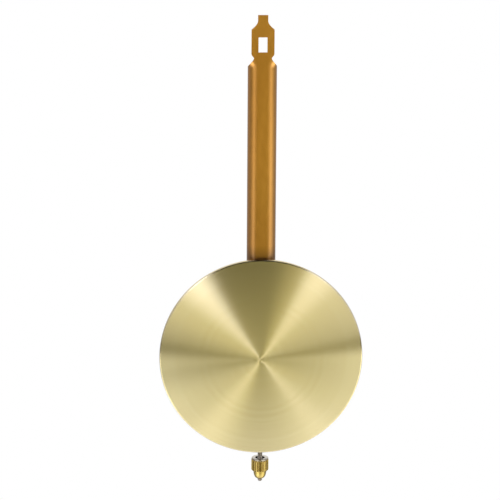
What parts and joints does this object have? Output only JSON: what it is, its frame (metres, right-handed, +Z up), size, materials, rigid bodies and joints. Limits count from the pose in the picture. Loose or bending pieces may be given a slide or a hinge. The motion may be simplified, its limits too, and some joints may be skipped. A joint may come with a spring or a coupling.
{
  "type": "clock pendulum",
  "caption": "Clock pendulum: a pressed rod with a hook eye, a round lens bob that slides on it, and a knurled rating nut on a threaded stud.",
  "frame": {"origin": "the middle of the hook eye's upper edge, on which the pendulum hangs, at mid-sheet", "axes": "+Z up along the rod, -Y the front of the bob, +X to the right seen from the front"},
  "size_m": [0.105, 0.0131, 0.2492],
  "materials": {
    "lacquer": "gold-bronze lacquer on sheet steel, satin",
    "spun_brass": "pale brass, circularly brushed, clear lacquer",
    "stud_steel": "bare threaded steel",
    "nut_brass": "turned and knurled brass",
    "washer_plate": "bright plated",
    "plated_steel": "zinc plated sheet steel",
    "rivet_steel": "plated steel",
    "blank_iron": "plain steel blank, dark",
    "spring_steel": "tempered strip"
  },
  "bodies": {
    "root": {"rod": "lacquer", "threaded_stud": "stud_steel", "stud_rivet": "rivet_steel"},
    "washer": {"nut_washer": "washer_plate"},
    "nut": {"rating_nut": "nut_brass"},
    "bob": {"bob_shell": "spun_brass", "back_plate": "plated_steel", "weight_disc_rear": "blank_iron", "weight_disc_front": "blank_iron", "guide_upper": "plated_steel", "guide_lower": "plated_steel", "adjusting_foot": "plated_steel", "friction_spring": "spring_steel", "guide_rivet_1": "rivet_steel", "guide_rivet_2": "rivet_steel", "guide_rivet_3": "rivet_steel", "guide_rivet_4": "rivet_steel", "foot_rivet_1": "rivet_steel", "foot_rivet_2": "rivet_steel", "weight_rivet_1": "rivet_steel", "weight_rivet_2": "rivet_steel", "spring_rivet": "rivet_steel"}
  },
  "joints": [
    {"name": "nut_travel", "type": "slide", "parent": "root", "child": "washer", "axis": [0, 0, 1], "range_m": [-0.0027, 0.0054]},
    {"name": "nut_spin", "type": "hinge", "parent": "washer", "child": "nut", "pos_m": [0, 0.001, -0.23], "axis": [0, 0, 1], "range_deg": [-2170, 4330]},
    {"name": "bob_slide", "type": "slide", "parent": "washer", "child": "bob", "axis": [0, 0, 1], "range_m": [-0.00355, 0.0085]}
  ],
  "couplings": [
    {"joint": "nut_spin", "follows": "nut_travel", "rad_per_m": 13963}
  ]
}
